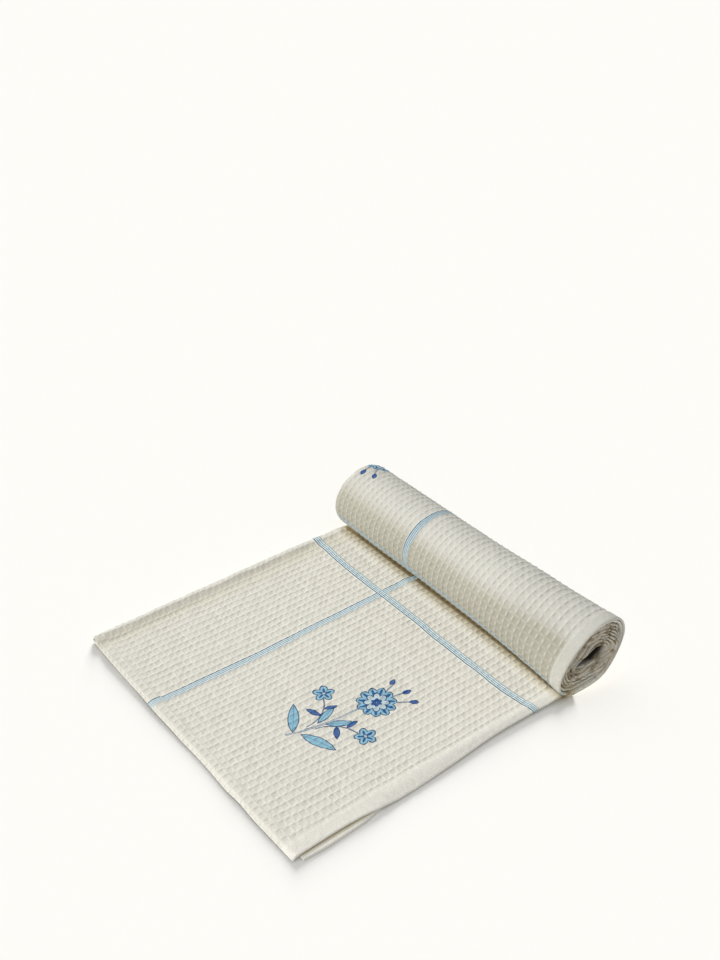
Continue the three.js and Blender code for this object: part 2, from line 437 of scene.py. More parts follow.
def place(u, v, depth):
    """Point of the cloth in the model's frame, in metres."""
    u, v, depth = np.broadcast_arrays(np.asarray(u, float), v, depth)
    stretch = flat_place if v.mean() < FLAT_CLOTH else rolled_place
    across, along, up = stretch(u, v, depth)
    left = FLAT_EDGES["fold"][0]
    return np.stack([LOW[0] + (across - left) * MM, LOW[1] + (along - FRONT) * MM, LOW[2] + up * MM], -1)


FRONT = flat_place(np.linspace(5, HALF_WIDTH, 200), np.zeros(200), np.zeros(200))[1].min()

# %% [markdown]
# ## The cells of the weave
#
# Waffle cloth has a grid of ridges with a pit in every square. Warp yarns float over the
# lengthwise ridges and weft yarns over the crosswise ones. A float is highest at the middle of
# a cell's side, so the ridges are rows of short bars, and the lengthwise bars stand higher.
# Bump shading would look painted on a cloth as coarse as this, so the pits are real, in the
# mesh. Small, smooth drifts keep the cells as uneven as woven ones are.

# %% Cells, hems and unevenness
PIT, PIT_UNEVEN, LUMPS, FLOAT_DEPTH = 1.2, 0.4, 0.2, 0.15
ROLL_PRESS, BAND_PRESS, HEM_PRESS, STRIPE_PRESS = 0.25, 0.93, 0.2, 0.5
STRIPE_WIDTH = 9.6
SIDE_HEM, FRONT_HEM = 17.5, 17
HEM_BAND = (HALF_WIDTH - SIDE_HEM - 2, HALF_WIDTH - SIDE_HEM + 1)
HEM_SHIFT = 2.5
SIDE_SEAM, FRONT_SEAM, SEAM_REACH = 0.3, 0.15, 1.3
EDGE_ROUND = 2.4
RIM_GAP, BACK_INSET = 0.04, 0.1
WARP_REACH, WEFT_REACH = 0.125, 0.13
LONGEST = 1600
chance = np.random.default_rng(20)


def drift(size_across, size_along):
    """A smooth random field over the cloth, from -1 to 1, from a lattice of seeded numbers."""
    count = int(2 * HALF_WIDTH / size_across) + 4, int(LONGEST / size_along) + 4
    lattice = chance.uniform(-1, 1, count)

    def at(u, v):
        x, y = (u + HALF_WIDTH) / size_across + 1, v / size_along + 1
        return between(lattice, x, y, lambda share: share * share * (3 - 2 * share))

    return at


wander_across, wander_along = drift(23, 31), drift(31, 23)
cell_depth, fine_lumps = drift(CELL_ACROSS, CELL_ALONG), drift(3.1, 3.3)
ragged_edge = drift(600, 36)


def floats(x, y):
    """Height of the weave, from 0 in the pits to 1 on the floats, from the place in cells."""
    mid_x, mid_y = np.sin(np.pi * x) ** 2, np.sin(np.pi * y) ** 2
    warp = 0.78 * hump(x - np.round(x), 0, WARP_REACH) + 0.22 * (1 - mid_x)
    weft = hump(y - np.round(y), 0, WEFT_REACH) * (0.2 + 0.3 * mid_x)
    return 1 - (1 - warp * (0.3 + 0.7 * mid_y)) * (1 - weft)


def in_stripe(u, v):
    """1 in a woven stripe, where the weave is closer and the cells are shallow."""
    lengthwise = np.abs(np.abs(u) - LONG_STRIPE)
    squares = np.maximum(np.round((v - CROSS_STRIPE) / STRIPE_SPACING), 0)
    crosswise = np.abs(v - CROSS_STRIPE - STRIPE_SPACING * squares)
    return 1 - soft_step(np.minimum(lengthwise, crosswise), STRIPE_WIDTH / 2 - 1, STRIPE_WIDTH / 2 + 1)


def face_depth(u, v):
    """Depth of the cloth's face: 0 on the floats, deeper in the pits and at the rounded hems."""
    in_hem = 1 - soft_step(v, FRONT_HEM - 1, FRONT_HEM + 1)
    pit = 1 - floats((u + HEM_SHIFT * in_hem) / CELL_ACROSS, (v - FIRST_RIDGE) / CELL_ALONG)
    on_roll = soft_step(v, FLAT_CLOTH - 20, FLAT_CLOTH + 60)
    pressed = (1 - ROLL_PRESS * on_roll) * (1 - BAND_PRESS * soft_step(np.abs(u), *HEM_BAND))
    pressed = pressed * (1 - HEM_PRESS * in_hem) * (1 - STRIPE_PRESS * in_stripe(u, v))
    depth = PIT * pit * pressed * (1 + PIT_UNEVEN * cell_depth(u, v)) + LUMPS * fine_lumps(u, v)
    side_seam = hump(np.abs(u) - HALF_WIDTH, -SIDE_HEM, SEAM_REACH)
    front_seam = hump(v, FRONT_HEM, SEAM_REACH)
    seams = (SIDE_SEAM * side_seam + FRONT_SEAM * front_seam) * (1 - 0.4 * pit)
    return np.maximum(depth + FLOAT_DEPTH + seams, 0)


def to_edge(u, v):
    """0 inside the cloth, rising to 1 at a hem's outer edge, as a round edge does."""
    side = np.clip(1 - (HALF_WIDTH - np.abs(u)) / EDGE_ROUND, 0, 1)
    end = np.clip(1 - np.minimum(v, CLOTH_LENGTH - v) / EDGE_ROUND, 0, 1)
    reach = np.minimum(np.hypot(side, end), 1)
    return 1 - np.sqrt(1 - reach**2)


def edge_depth(u, v):
    """Depth of a hem's outermost line. On the flat, it lies low, close to the floor."""
    low = 0.95 * soft_step(-u, 5, 40) * soft_step(v, FLAT_CLOTH, FLAT_CLOTH - 30)
    return CLOTH / 2 - low + 0.9 * soft_step(u, 60, 200) * soft_step(v, 12, 4)


def outer_depth(u, v):
    """Depth of the face, which comes down to a hem's outermost line and stops just above it."""
    rounded = to_edge(u, v)
    return face_depth(u, v) * (1 - rounded) + (edge_depth(u, v) - RIM_GAP) * rounded


def back_depth(u, v):
    """Depth of the back, which stops just below that line."""
    rounded = to_edge(u, v)
    return (CLOTH - BACK_INSET) * (1 - rounded) + (edge_depth(u, v) + RIM_GAP) * rounded


# %% [markdown]
# Cloth that is pulled into a roll never stays square. The stripes and the rows of cells in the
# photograph lean and bow by a few millimetres, and the two tables below hold by how much.

# %% Where handling has pulled the weave
SKEW = table(
    "along by_fold by_stripe beyond",
    (0, -3.6, -3, -6.8),
    (25, -2.6, -2.8, -6),
    (40, -1.5, -1.8, -4.8),
    (80, -0.9, -0.4, -2.5),
    (130, 0.3, 1.7, -0.5),
    (190, 1, 2.8, 1.2),
    (250, 1.8, 1.9, 0.9),
    (330, 2.3, 1.8, 0),
    (380, 2.5, 0, -0.3),
    (433, 0, 0, 0),
)
LAG = table(
    "across lag",
    (-40, 0),
    (0, 2.6),
    (30, 2.4),
    (60, 0),
    (100, -1),
    (190, -0.8),
    (250, 0),
    (300, -0.3),
    (350, 2.2),
    (400, 7.8),
    (425, 12.5),
    (450, 18.5),
)
WANDER = 1.0


def pulled(u, v):
    """Where a thread of the weave really lies on the cloth."""
    by_fold, by_stripe, beyond = read_all(SKEW, "along", "by_fold by_stripe beyond", v)
    free = soft_step(u, -20, 40) * soft_step(HALF_WIDTH - u, 0, 45)
    skew = by_fold + (by_stripe - by_fold) * soft_step(u, 60, 150)
    skew = skew + (beyond - by_stripe) * soft_step(u, 165, 225)
    lag = read(LAG, "across", "lag", u) * np.minimum(v / CROSS_STRIPE, 1)
    lag = lag * (1 - soft_step(v, 392, FLAT_CLOTH))
    lag_below = read(LAG, "across", "lag", -u) * soft_step(-u, 250, 330) + 6 * soft_step(-u, 220, 380)
    lag = lag + lag_below * soft_step(v, 560, 660) * soft_step(v, 900, 760)
    loose = WANDER * soft_step(np.abs(v - FLAT_CLOTH), 0, 12) * soft_step(CLOTH_LENGTH - v, 0, 12)
    sideways = loose * wander_across(u, v) * soft_step(HALF_WIDTH - np.abs(u), 0, 15)
    return u + skew * free + sideways, v + lag + loose * wander_along(u, v)


# %% [markdown]
# ## Sewing patches into a shell
#
# Each stretch of cloth is one closed shell. Its face is a fine grid where it shows and a coarse
# one where it doesn't, and its back is coarser still. Grids of different fineness can't share
# their rims, so a strip of triangles zips each pair of rims together.


# %% Rows and columns at the cells' own places
CLOSEST = 0.4
FINE = (0, 0.1, 0.21, 0.5, 0.79, 0.9)
FINE_ALONG = (0, 0.12, 0.25, 0.5, 0.75, 0.88)
HALVES = (0, 0.5)
COARSE = (0, 0.25, 0.5, 0.75)
ROUND_ANGLES = (90, 72, 54, 36, 18, 0)


def cell_lines(start, stop, pitch, marks, first_ridge=0):
    """Places of the ridges, flanks and pits from start to stop."""
    first, last = math.floor((start - first_ridge) / pitch), math.ceil((stop - first_ridge) / pitch)
    lines = [first_ridge + pitch * (cell + mark) for cell in range(first, last) for mark in marks]
    inside = [line for line in lines if start + CLOSEST < line < stop - CLOSEST]
    return np.array([start, *inside, stop])


def rows_of(start, stop, marks):
    """The same, along the cloth."""
    return cell_lines(start, stop, CELL_ALONG, marks, FIRST_RIDGE)


def rounded_lines(edge, inwards):
    """Places close to a hem's outer edge, as a quarter circle needs them."""
    return edge + inwards * EDGE_ROUND * (1 - np.sin(np.radians(ROUND_ANGLES)))


def half_columns(start, marks):
    """Columns from near the fold to the rounded edge of the long hem."""
    inner = cell_lines(start, HALF_WIDTH - EDGE_ROUND, CELL_ACROSS, marks)
    return np.concatenate([inner, rounded_lines(HALF_WIDTH, -1)[:-1][::-1]])


def mirrored(columns):
    """The same columns on the other side of the fold."""
    return -columns[::-1]


# %% A shell made of patches
NUDGE = 0.0015


class Shell:
    """Grids of points on the cloth, zipped together along their rims."""

    def __init__(self):
        self.points, self.cloth, self.bake = [], [], []
        self.faces, self.corners, self.flat = [], [], []

    def patch(self, us, vs, depth, panel):
        """Adds a grid. panel is its rectangle in the bake map, as left, bottom, right, top."""
        us, vs = np.asarray(us, float), np.asarray(vs, float)
        grid_v, grid_u = np.meshgrid(vs, us, indexing="ij")
        first = sum(len(part) for part in self.points)
        self.points.append(place(*pulled(grid_u, grid_v), depth(grid_u, grid_v)).reshape(-1, 3))
        self.cloth.append(np.stack([grid_u, grid_v], -1).reshape(-1, 2) * MM)
        x = panel[0] + (us - us[0]) / (us[-1] - us[0]) * (panel[2] - panel[0])
        y = panel[1] + (vs - vs[0]) / (vs[-1] - vs[0]) * (panel[3] - panel[1])
        grid_y, grid_x = np.meshgrid(y, x, indexing="ij")
        self.bake.append(np.stack([grid_x, grid_y], -1).reshape(-1, 2))
        index = first + np.arange(len(us) * len(vs)).reshape(len(vs), len(us))
        quads = np.stack([index[:-1, :-1], index[:-1, 1:], index[1:, 1:], index[1:, :-1]], -1).reshape(-1, 4)
        self.faces += quads.tolist()
        self.corners += self.all_bake()[quads].reshape(-1, 8).tolist()
        self.flat += [False] * len(quads)
        return index, us, vs

    def all_bake(self):
        """Every point's place in the bake map."""
        return np.concatenate(self.bake)

    def sew(self, rim, rim_places, other, other_places, push, flat=False):
        """Joins two rims by triangles. push moves the second rim's bake corners off the first's."""
        rim_bake, i, j = self.all_bake()[rim], 0, 0
        off = np.stack([np.interp(other_places, rim_places, rim_bake[:, k]) for k in (0, 1)], -1) + push
        while i < len(rim) - 1 or j < len(other) - 1:
            at_rim_end, at_other_end = i == len(rim) - 1, j == len(other) - 1
            if at_other_end or (not at_rim_end and rim_places[i + 1] <= other_places[j + 1]):
                self.faces.append([int(rim[i]), int(rim[i + 1]), int(other[j])])
                self.corners.append([*rim_bake[i], *rim_bake[i + 1], *off[j]])
                i += 1
            else:
                self.faces.append([int(rim[i]), int(other[j + 1]), int(other[j])])
                self.corners.append([*rim_bake[i], *off[j + 1], *off[j]])
                j += 1
            self.flat.append(flat)

    def close(self, left, right, back, cut_start, cut_end):
        """Zips the face's two patches together, and the back to them all round."""
        self.sew(left[0][:, -1], left[2], right[0][:, 0], right[2], (NUDGE, 0))
        for row, push, cut in ((0, (0, -NUDGE), cut_start), (-1, (0, NUDGE), cut_end)):
            rim = np.concatenate([left[0][row], right[0][row]])
            places = np.concatenate([left[1], right[1]])
            self.sew(rim, places, back[0][row], back[1], push, cut)
        self.sew(left[0][:, 0], left[2], back[0][:, 0], back[2], (-NUDGE, 0))
        self.sew(right[0][:, -1], right[2], back[0][:, -1], back[2], (NUDGE, 0))

    def piece(self, name, materials, printed=None):
        """The finished mesh, as an object at the origin. printed picks the faces with the sprig."""
        mesh = bpy.data.meshes.new(name)
        mesh.from_pydata(np.concatenate(self.points).tolist(), [], self.faces)
        loops = np.concatenate([np.array(face) for face in self.faces])
        cloth = np.concatenate(self.cloth)
        corners = np.concatenate([np.array(corner) for corner in self.corners])
        mesh.uv_layers.new(name="cloth").data.foreach_set("uv", cloth[loops].ravel())
        mesh.uv_layers.new(name="OFBake").data.foreach_set("uv", corners)
        mesh.uv_layers.active = mesh.uv_layers["cloth"]
        mesh.uv_layers["cloth"].active_render = True
        mesh.polygons.foreach_set("use_smooth", [not flat for flat in self.flat])
        if printed:
            starts = np.concatenate([[0], np.cumsum([len(face) for face in self.faces])[:-1]])
            u, v = (cloth[loops[starts]] / MM).T
            mesh.polygons.foreach_set("material_index", printed(u, v).astype(int))
        for material in materials:
            mesh.materials.append(material)
        work = bmesh.new()
        work.from_mesh(mesh)
        bmesh.ops.recalc_face_normals(work, faces=work.faces)
        work.to_mesh(mesh)
        volume = work.calc_volume(signed=True)
        work.free()
        mesh.calc_loop_triangles()
        print(name, len(mesh.loop_triangles), "triangles,", round(volume * 1e6), "cm3")
        return add(name, mesh)


# %% [markdown]
# ## Shader maths in plain expressions
#
# The finishes are worked out from the cloth's own u and v. `Wire` wraps a socket, so that an
# expression such as `1 - mask * 0.5` adds its Math nodes. Its `smooth` rises from 0 to 1 between
# two places, and gives every tint, stripe and leaf its edge. Every other node comes from
# `Finish.node`, which sets the node's own settings first and then its sockets.


# %% A socket that takes part in sums
def maths(operation, swap=False):
    """An operator that adds a Math node."""
    return lambda wire, *others: wire.work(operation, *others, swap=swap)


class Wire:
    """A socket's value, for use in expressions."""

    def __init__(self, finish, socket):
        self.finish, self.socket = finish, socket

    def work(self, operation, *others, swap=False):
        """A Math node on this socket and others. swap puts this one last."""
        values = [self, *others]
        if swap:
            values = values[::-1]
        return self.finish.node("ShaderNodeMath", {"operation": operation}, dict(enumerate(values)))

    def smooth(self, low, high):
        """0 below low, 1 above high, and smooth between. low may be the larger one."""
        inputs = {0: self, 1: min(low, high), 2: max(low, high), 3: float(low > high), 4: float(low < high)}
        return self.finish.node("ShaderNodeMapRange", {"interpolation_type": "SMOOTHSTEP"}, inputs)

    __add__ = __radd__ = maths("ADD")
    __sub__, __rsub__ = maths("SUBTRACT"), maths("SUBTRACT", swap=True)
    __mul__ = __rmul__ = maths("MULTIPLY")
    __truediv__ = maths("DIVIDE")
    __abs__ = maths("ABSOLUTE")


class Finish:
    """A material and the nodes that make it."""

    def __init__(self, name):
        self.material = bpy.data.materials.new(name)
        self.material.use_nodes = True
        self.tree = self.material.node_tree
        self.shader = self.tree.nodes["Principled BSDF"]

    def node(self, kind, settings=None, inputs=None, output=0):
        """A node with its own settings and the values or links of its sockets."""
        made = self.tree.nodes.new(kind)
        for name, value in (settings or {}).items():
            setattr(made, name, value)
        for name, value in (inputs or {}).items():
            self.plug(made.inputs[name], value)
        return Wire(self, made.outputs[output])

    def plug(self, socket, value):
        """Links a Wire to a socket, or writes a plain value in it."""
        if isinstance(value, Wire):
            self.tree.links.new(value.socket, socket)
        else:
            socket.default_value = value

    def set_shader(self, values):
        """Values or links of the sockets of the material's shader."""
        for name, value in values.items():
            self.plug(self.shader.inputs[name], value)

    def mix(self, factor, first, second):
        """Colour between two colours. The sockets of a colour Mix are 6 and 7, its output 2."""
        settings = {"data_type": "RGBA"}
        return self.node("ShaderNodeMix", settings, {0: factor, 6: first, 7: second}, 2)

    def split(self, vector, axis):
        """One number of a vector: 0, 1 or 2."""
        return self.node("ShaderNodeSeparateXYZ", None, {0: vector}, axis)

    def noise(self, place_of, scale, detail):
        """Soft lumps from 0 to 1. scale is how many there are in a metre, about."""
        return self.node("ShaderNodeTexNoise", None, {"Vector": place_of, "Scale": scale, "Detail": detail})


def least(first, *others):
    """The smallest of several Wires."""
    for other in others:
        first = first.work("MINIMUM", other)
    return first


def most(first, *others):
    """The largest of several Wires."""
    for other in others:
        first = first.work("MAXIMUM", other)
    return first


def length(x, y):
    """Distance from the origin."""
    return (x * x + y * y).work("SQRT")


def linear(red, green, blue):
    """A colour as a picture shows it, 0 to 255, as Blender's own linear one."""
    shares = [value / 255 for value in (red, green, blue)]
    return (*[((s + 0.055) / 1.055) ** 2.4 if s > 0.04 else s / 12.92 for s in shares], 1)


# %% [markdown]
# ## The cloth's finish
#
# The yarn is cream cotton with a matt, slightly hairy look. Fine threads run along each ridge.
# Shade is painted into the colour: the pits are darker and warmer, and so are the dip beside the
# fold and, warmer still, the cloth where the roll meets the flat stretch. The roll is greyer and
# darker, and darker still on its front and inside. The stripes are woven: three light blue bands
# between four thin darker lines.

# %% Colours and sizes of the finish
CREAM = linear(236, 234, 226)
# Painted shade in the pits.
PIT_SHADE = linear(209, 204, 189)
GRAIN_TINT = linear(198, 194, 180)
# The eight colours below are all painted shade.
FOLD_DIP_SHADE = linear(217, 213, 197)
ROLL_SHADE = linear(204, 203, 195)
NIP_SHADE = linear(205, 188, 138)
NIP_SHADOW_LINE = linear(120, 98, 46)
ROLL_FRONT_SHADE = linear(176, 172, 156)
INNER_TURN_SHADE = linear(184, 171, 142)
HOLLOW_SHADOW = linear(34, 26, 16)
END_SHADE_SPOTS = linear(136, 112, 70)
STRIPE_LIGHT = linear(228, 244, 248)
STRIPE_LINE = linear(40, 92, 116)
PRINT_DARK = linear(18, 84, 158)
PRINT_LIGHT = linear(134, 188, 212)
PRINT_PALE = linear(196, 214, 220)
PRINT_LINE = linear(26, 62, 108)
THREAD = 0.85
NIP_ALONG, NIP_UP = 406, 7
OBJECT_OUTPUT = 3
PATCHES, CELLS, GRAIN, FUZZ = (14, 3), (120, 2), (480, 2), (1500, 2)
BUMP = {"Strength": 0.5, "Distance": 0.0005}
MATT = {"Specular IOR Level": 0.2, "Sheen Weight": 0.1, "Sheen Roughness": 0.5}


def wave_of(value, period):
    """A cosine wave of a Wire."""
    return (value * (2 * math.pi / period)).work("COSINE")


def weave_finish(name, with_sprig):
    """The cloth's material. with_sprig adds the printed sprig."""
    cloth = Finish(name)
    uv = cloth.node("ShaderNodeUVMap", {"uv_map": "cloth"})
    across, along = cloth.split(uv, 0) * 1000, cloth.split(uv, 1) * 1000
    place_of = cloth.node("ShaderNodeTexCoord", output=OBJECT_OUTPUT)
    sizes = (PATCHES, CELLS, GRAIN, FUZZ)
    patches, cells, grain, fuzz = [cloth.noise(place_of, *size) for size in sizes]

    in_hem = along.smooth(FRONT_HEM + 0.5, FRONT_HEM - 0.5)
    x, y = (across + in_hem * HEM_SHIFT) / CELL_ACROSS, (along - FIRST_RIDGE) / CELL_ALONG
    off_x, off_y = abs((x + 0.5).work("FRACT") - 0.5), abs((y + 0.5).work("FRACT") - 0.5)
    mid_x, mid_y = 0.5 - wave_of(x, 1) * 0.5, 0.5 - wave_of(y, 1) * 0.5
    warp = off_x.smooth(0.2, 0.03) * (0.25 + mid_y * 0.75)
    weft = off_y.smooth(0.2, 0.03) * (0.22 + mid_x * 0.28)
    band = abs(across).smooth(*HEM_BAND)
    float_height = most(warp, weft) * (1 - band)
    pit = (1 - float_height) * (1 - band)

    # Painted shade: the pits are darker and warmer.
    colour = cloth.mix(pit * 0.3, CREAM, PIT_SHADE)
    unevenness = (patches - 0.45) * 0.25 + (cells - 0.43) * 0.3
    unevenness = unevenness + (grain - 0.42) * 0.9 + (fuzz - 0.45) * 0.7
    mottled = band * along.smooth(FLAT_CLOTH, FLAT_CLOTH + 40) * 2 + 1
    colour = cloth.mix(most(unevenness * mottled, 0.0), colour, GRAIN_TINT)
    # Painted shade in the dip beside the fold, 8 to 46 mm from it, darker in the pits.
    by_fold = abs(across).smooth(46, 20) * abs(across).smooth(8, 18)
    colour = cloth.mix(by_fold * (pit * 0.7 + 0.3), colour, FOLD_DIP_SHADE)
    colour = shade_by_place(cloth, colour, across, along, place_of, cells, pit)
    colour = stripes(cloth, colour, across, along, fuzz, in_hem)
    if with_sprig:
        colour = sprig(cloth, colour, across, along, fuzz, pit)

    warp_threads, weft_threads = wave_of(across, THREAD), wave_of(along, THREAD)
    warp_side = (warp - weft).smooth(-0.15, 0.15)
    threads = warp_threads * warp_side + weft_threads * (1 - warp_side)
    height = float_height * 0.9 + threads * 0.16 + fuzz * 0.8 + grain * 1.2
    bump = cloth.node("ShaderNodeBump", None, {**BUMP, "Height": height})
    looks = {"Base Color": colour, "Normal": bump, "Roughness": 0.9 + fuzz * 0.1, **MATT}
    cloth.set_shader(looks)
    return cloth.material


def shade_by_place(cloth, colour, across, along, place_of, shade_spot_noise, pit):
    """Paints shade on the cloth by its place: at the nip, between the layers, on the roll and inside it."""
    x, y, z = [cloth.split(place_of, axis) for axis in range(3)]
    along_at = y / MM - (LOW[1] / MM - FRONT)
    up_at = z / MM - LOW[2] / MM
    across_at = x / MM - (LOW[0] / MM - FLAT_EDGES["fold"][0])
    line = NIP_ALONG - across_at.smooth(320, 450) * 6
    from_nip = length(along_at - line, (up_at - NIP_UP) * 0.8)
    past_fold = across_at.smooth(4, 14)
    # Painted warm shade within 24 mm of the nip, where the roll meets the flat stretch.
    colour = cloth.mix(from_nip.smooth(24, 3) * past_fold * 0.5, colour, NIP_SHADE)
    # Painted dark shadow line within 8 mm of the nip.
    colour = cloth.mix(from_nip.smooth(8, 3) * past_fold * 0.8, colour, NIP_SHADOW_LINE)
    in_front = along_at.smooth(425, 400) * up_at.smooth(8, 16)
    # Painted shade: the roll is greyer and darker from 12 to 50 mm up.
    colour = cloth.mix(up_at.smooth(12, 50) * 0.8, colour, ROLL_SHADE)
    # Painted shade on the roll's front, below 70 to 98 mm, darker in the pits.
    colour = cloth.mix(in_front * up_at.smooth(98, 70) * (pit * 0.85 + 0.25), colour, ROLL_FRONT_SHADE)
    # Painted warm shade in the gap between the two layers at the long hem's edge.
    in_gap = abs(up_at - CLOTH - LAYER_GAP / 2).smooth(1.2, 0.5) * across.smooth(0, -5)
    by_edge = across_at.smooth(438, 447) * across_at.smooth(452.4, 451)
    colour = cloth.mix(in_gap * by_edge * (along_at.smooth(160, 40) * 0.4 + 0.2), colour, NIP_SHADE)
    # Painted shade on the inner turns, which show only at the roll's ends.
    colour = cloth.mix(along.smooth(OUTER_END - 8, OUTER_END + 30) * 0.36, colour, INNER_TURN_SHADE)
    # Painted shade in blotches on the rims of the layers at the roll's right end.
    at_end = across_at.smooth(437, 447) * along.smooth(OUTER_END + 20, OUTER_END + 60)
    colour = cloth.mix(at_end * shade_spot_noise.smooth(0.5, 0.66) * 0.75, colour, END_SHADE_SPOTS)
    # Painted dark shadow on the innermost cloth, inside the hollow.
    near_heart = along.smooth(CLOTH_LENGTH - 150, CLOTH_LENGTH - 105)
    in_hollow = near_heart * across_at.smooth(452, 443)
    return cloth.mix(in_hollow * across_at.smooth(60, 90) * 0.97, colour, HOLLOW_SHADOW)


# %% Woven stripes
LINE_WIDTH = 1.3
INNER_LINE = 0.75


def stripes(cloth, colour, across, along, fuzz, in_hem):
    """Adds the lengthwise and crosswise stripes to a colour."""
    lengthwise = abs(across) + in_hem * HEM_SHIFT - LONG_STRIPE
    squares = most(((along - CROSS_STRIPE) / STRIPE_SPACING).work("ROUND"), 0.0)
    crosswise = along - CROSS_STRIPE - squares * STRIPE_SPACING
    step = (STRIPE_WIDTH - LINE_WIDTH) / 3
    foot = along.smooth(640, 670) * along.smooth(OUTER_END, OUTER_END - 20)
    faded = 1 - along.smooth(OUTER_END - 20, OUTER_END) * 0.7 - foot * 0.35
    in_shade = along.smooth(FLAT_CLOTH, FLAT_CLOTH + 60) * 0.3
    for offset in (lengthwise, crosswise):
        distance = abs(offset)
        inside = distance.smooth(STRIPE_WIDTH / 2 + 0.3, STRIPE_WIDTH / 2 - 0.3)
        colour = cloth.mix(inside * faded * (0.78 + fuzz * 0.3), colour, STRIPE_LIGHT)
        colour = cloth.mix(inside * faded * in_shade, colour, STRIPE_LINE)
        near_side = offset.smooth(1, -1) * 0.4 + 0.6
        for at, strength in ((1.5 * step, near_side), (0.5 * step, INNER_LINE)):
            line = abs(distance - at).smooth(LINE_WIDTH / 2 + 0.2, LINE_WIDTH / 2 - 0.2)
            colour = cloth.mix(line * strength * faded, colour, STRIPE_LINE)
    return colour


# %% [markdown]
# ## The printed sprig
#
# A small spray of flowers is printed in the squares between the stripes. Each shape is a
# distance in millimetres, below 0 inside the shape, so a fill and an outline both come from one
# number. Petals repeat round a flower by folding the angle, and the two sides share their leaves
# by folding the drawing down the middle.


# %% Shapes as distances
def turned(x, y, degrees):
    """The place as seen from axes that are turned."""
    c, s = math.cos(math.radians(degrees)), math.sin(math.radians(degrees))
    return x * c + y * s, y * c - x * s


def leaf(x, y, from_x, from_y, degrees, long, wide):
    """A pointed leaf from its foot, in a direction. Two arcs meet at its ends."""
    x, y = turned(x - from_x, y - from_y, degrees)
    off = (long * long / wide - wide) / 4
    return length(x - long / 2, abs(y) + off) - (off + wide / 2), y


def leaves(x, y, rows):
    """Several leaves, one for each row of a table."""
    return least(*[leaf(x, y, *row)[0] for row in rows])


def petals(x, y, count, reach, wide, centre, spin):
    """A ring of round petals about the origin."""
    angle = y.work("ARCTAN2", x) * (count / (2 * math.pi)) + spin
    folded = (angle.work("FRACT") - 0.5) * (2 * math.pi / count)
    radius = length(x, y)
    px, py = radius * folded.work("COSINE") - centre, radius * folded.work("SINE")
    return length(px * (wide / reach), py) - wide


# %% [markdown]
# Rows of leaves give the foot, the direction in degrees, the length and the width. Rows of
# petals give their number, how long and wide they are, their distance from the middle of the
# flower, their turn, their colour and how thick their outline is. Later shapes are printed over
# earlier ones.

# %% The sprig itself
SPRIG_ACROSS, SPRIG_ALONG = 313, 181
SPRIG_LEAN = 7
SECOND_SPRIG_ALONG = SPRIG_ALONG + STRIPE_SPACING + 9
SIDE_SHIFT = 7
SPRAYS = ((3, 56, 88, 26, 1.4), (-7, 54, 112, 22, 1.4), (12, 54, 66, 26, 1.4))
LONG_LEAF = (4, -66, 28, 48, 13)
HIGH_LEAF = (3, -34, 64, 34, 9)
SMALL_LEAVES = ((13, -25, -26, 20, 7), (21, -15.5, 102, 17, 6))
BUDS = ((4, 74, 86, 11, 6), (-16, 68, 122, 11, 6), (21, 72, 60, 11, 6))
SIDE_FLOWER = (
    (5, 6.2, 4.6, 7.2, 0.15, PRINT_LIGHT, 0.5),
    (5, 3.4, 1.2, 5.4, 0.15, PRINT_DARK, 0.2),
)
HEAD = (
    (11, 7.5, 5.6, 17.5, 0.5, PRINT_LIGHT, 0.5),
    (11, 5.2, 1.5, 17, 0.5, PRINT_DARK, 0.2),
    (8, 6.2, 4.2, 9.8, 0.2, PRINT_PALE, 0.5),
    (6, 3.0, 2.2, 4.0, 0.0, PRINT_DARK, 0.3),
)


def sprig(cloth, colour, across, along, fuzz, pit):
    """Adds the spray to a colour: beside the stripes first, and on the fold one square on."""
    second = along.work("GREATER_THAN", CROSS_STRIPE)
    x = (1 - second) * (abs(across) - SPRIG_ACROSS) - second * across
    y = along - (1 - second) * SPRIG_ALONG - second * SECOND_SPRIG_ALONG
    x, y = turned(x, y, -SPRIG_LEAN)
    side_x, side_y = abs(x), y + x.work("LESS_THAN", 0) * SIDE_SHIFT

    def ink(colour, distance, fill, thick=0.5):
        """Prints a shape in a colour and outlines it."""
        cover = 0.86 + fuzz * 0.25 - pit * 0.08
        colour = cloth.mix(distance.smooth(0.3, -0.3) * cover, colour, fill)
        outline = abs(distance).smooth(thick + 0.3, thick - 0.15)
        return cloth.mix(outline * cover, colour, PRINT_LINE)

    stem_middle = (y + 80) * (y - 30) * -0.0016 - 3
    stem = most(abs(x - stem_middle) - 1.0, -82 - y, y - 22)
    branch = abs(length(side_x - 50, side_y + 52) - 46) - 0.5
    branch = most(branch, -48 - side_y, side_y + 8, side_x - 48)
    colour = ink(colour, least(stem, branch, leaves(x, y, SPRAYS)), PRINT_PALE, thick=0.32)
    long_leaf, long_rib = leaf(side_x, side_y, *LONG_LEAF)
    high_leaf, high_rib = leaf(side_x, side_y, *HIGH_LEAF)
    colour = ink(colour, least(long_leaf, high_leaf), PRINT_LIGHT)
    ribs = least(most(long_leaf, abs(long_rib) - 0.1), most(high_leaf, abs(high_rib) - 0.1))
    colour = cloth.mix(ribs.smooth(0.4, 0.0) * 0.7, colour, PRINT_LINE)
    colour = ink(colour, leaves(side_x, side_y, SMALL_LEAVES), PRINT_DARK)
    colour = ink(colour, leaves(x, y, BUDS), PRINT_DARK)
    side_flower = side_x - 45, side_y + 3
    for *ring, fill, thick in SIDE_FLOWER:
        colour = ink(colour, petals(*side_flower, *ring), fill, thick)
    colour = ink(colour, length(*side_flower) - 2.4, PRINT_PALE, thick=0.4)
    head = x - 1, y - 38
    for *ring, fill, thick in HEAD:
        colour = ink(colour, petals(*head, *ring), fill, thick)
    return colour


